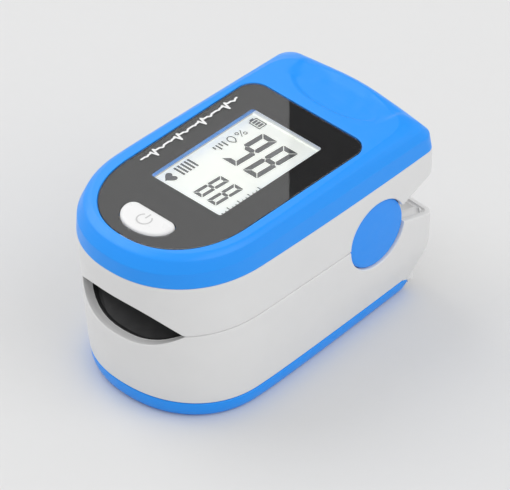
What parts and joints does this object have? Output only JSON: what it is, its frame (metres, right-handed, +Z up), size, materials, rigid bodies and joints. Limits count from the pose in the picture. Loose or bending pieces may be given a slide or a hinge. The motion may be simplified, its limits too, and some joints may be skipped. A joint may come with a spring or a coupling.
{
  "type": "fingertip pulse oximeter",
  "caption": "Clip-shaped fingertip pulse oximeter with a tinted display window, a power button, a sprung jaw hinge, soft finger pads and a sliding battery door.",
  "frame": {"origin": "centre of the bounding box's underside, on the face it rests on", "axes": "+Y along the length towards the hinge, -Y the finger end; +X across; +Z up through the display"},
  "size_m": [0.033, 0.0604, 0.0344],
  "materials": {
    "white_shell": "satin moulded ABS",
    "blue_shell": "satin moulded ABS",
    "tinted_window": "polished tinted acrylic",
    "black_print": "screen print behind the window",
    "lcd_glass": "segment display with a white backlight",
    "light_guide": "clear acrylic light guide",
    "inner_plastic": "plain moulding",
    "soft_rubber": "soft matte silicone",
    "circuit_board": "solder mask",
    "chip": "epoxy package",
    "bright_metal": "nickel plated",
    "ceramic_part": "matte ceramic",
    "steel": "plain steel",
    "contact_metal": "nickel plated brass",
    "led_package": "moulded package",
    "clear_window": "clear resin",
    "flex_film": "polyimide film",
    "cell_jacket": "printed jacket without marks",
    "button_white": "satin moulded button"
  },
  "bodies": {
    "lower": {"lower_shell": "white_shell", "lower_frame": "inner_plastic", "frame_screws": "steel", "lower_finger_pad": "soft_rubber", "sensor_window": "clear_window", "photodiode": "chip", "sensor_board": "circuit_board", "hinge_pin": "steel", "torsion_spring_left": "steel", "torsion_spring_right": "steel", "hinge_cap_left": "blue_shell", "hinge_cap_right": "blue_shell", "flex_cable": "flex_film", "contact_board": "circuit_board", "battery_contacts": "contact_metal", "battery_springs": "bright_metal", "battery_link": "contact_metal", "battery_left": "cell_jacket", "battery_right": "cell_jacket"},
    "upper": {"upper_shell": "white_shell", "upper_cover": "blue_shell", "display_lens": "tinted_window", "display_mask": "black_print", "lcd_panel": "lcd_glass", "lcd_light_guide": "light_guide", "lcd_frame": "inner_plastic", "lcd_contact_strip": "soft_rubber", "main_board": "circuit_board", "microcontroller": "chip", "sensor_amplifier": "chip", "crystal": "bright_metal", "board_capacitors": "ceramic_part", "tact_switch": "bright_metal", "board_screws": "steel", "emitter_board": "circuit_board", "emitter_leds": "led_package", "emitter_window": "clear_window", "upper_finger_pad": "soft_rubber"},
    "power_button": {"power_button": "button_white", "switch_plunger": "chip"},
    "battery_door": {"battery_door": "blue_shell"}
  },
  "joints": [
    {"name": "jaw_hinge", "type": "hinge", "parent": "lower", "child": "upper", "pos_m": [0, 0.01585, 0.0182], "axis": [-1, 0, 0], "range_deg": [0, 27], "stiffness_Nm_per_rad": 0.1, "springref_deg": -17.19, "deforming": ["flex_cable"]},
    {"name": "button_press", "type": "slide", "parent": "upper", "child": "power_button", "axis": [0, 0, -1], "range_m": [0, 0.00035], "stiffness_N_per_m": 1500, "springref_m": -0.0002},
    {"name": "door_slide", "type": "slide", "parent": "lower", "child": "battery_door", "axis": [0, -1, 0], "range_m": [0, 0.058]}
  ]
}
